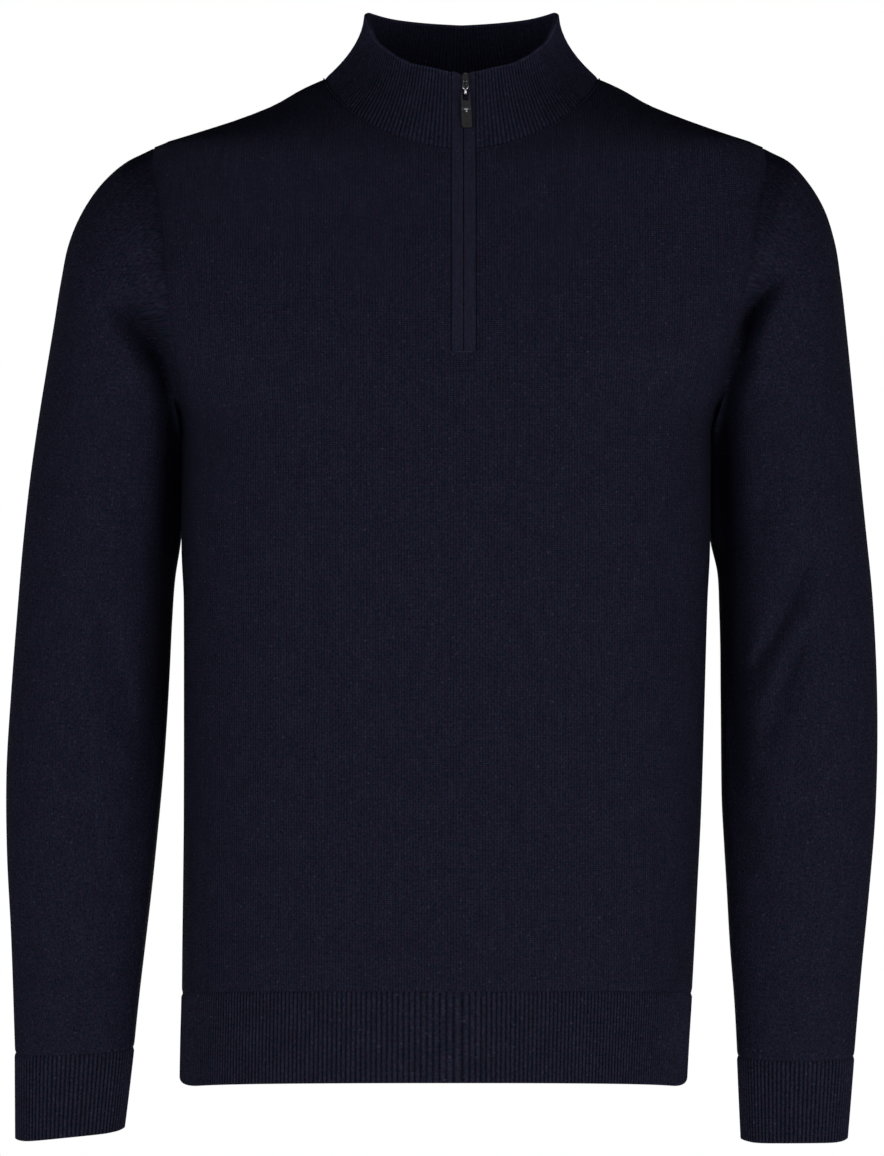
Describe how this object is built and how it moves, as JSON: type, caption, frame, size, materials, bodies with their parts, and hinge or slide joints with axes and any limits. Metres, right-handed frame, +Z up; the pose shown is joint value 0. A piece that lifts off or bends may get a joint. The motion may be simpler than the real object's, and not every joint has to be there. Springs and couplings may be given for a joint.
{
  "type": "quarter zip sweater",
  "caption": "Hollow worn form of a fine-knit sweater with set-in sleeves, ribbed hem, cuffs and stand collar, and a short front zip.",
  "frame": {"origin": "midway between the two high points of the shoulders, in the neck hollow, where the wearer's neck passes", "axes": "+Z up towards the collar, the garment's front faces -Y, +X towards the wearer's left side"},
  "size_m": [0.592, 0.2255, 0.7693],
  "materials": {
    "body_knit": "matt fine navy plain knit",
    "sleeve_knit": "matt fine navy plain knit",
    "rib_knit": "matt navy rib knit",
    "collar_rib": "matt navy rib knit, double",
    "tape": "smooth navy woven tape",
    "zip_metal": "gunmetal"
  },
  "bodies": {
    "garment": {"front": "body_knit", "back": "body_knit", "sleeve_right": "sleeve_knit", "sleeve_left": "sleeve_knit", "hem_rib_front": "rib_knit", "hem_rib_back": "rib_knit", "cuff_right": "rib_knit", "cuff_left": "rib_knit", "collar": "collar_rib", "zip_tape_right": "tape", "zip_tape_left": "tape", "zip_slider": "zip_metal"},
    "pull": {"zip_pull": "zip_metal"}
  },
  "joints": [
    {"name": "pull_tab", "type": "hinge", "parent": "garment", "child": "pull", "pos_m": [0.0009, -0.0853, -0.01707], "axis": [-1, 0, 0], "range_deg": [0, 110]}
  ]
}
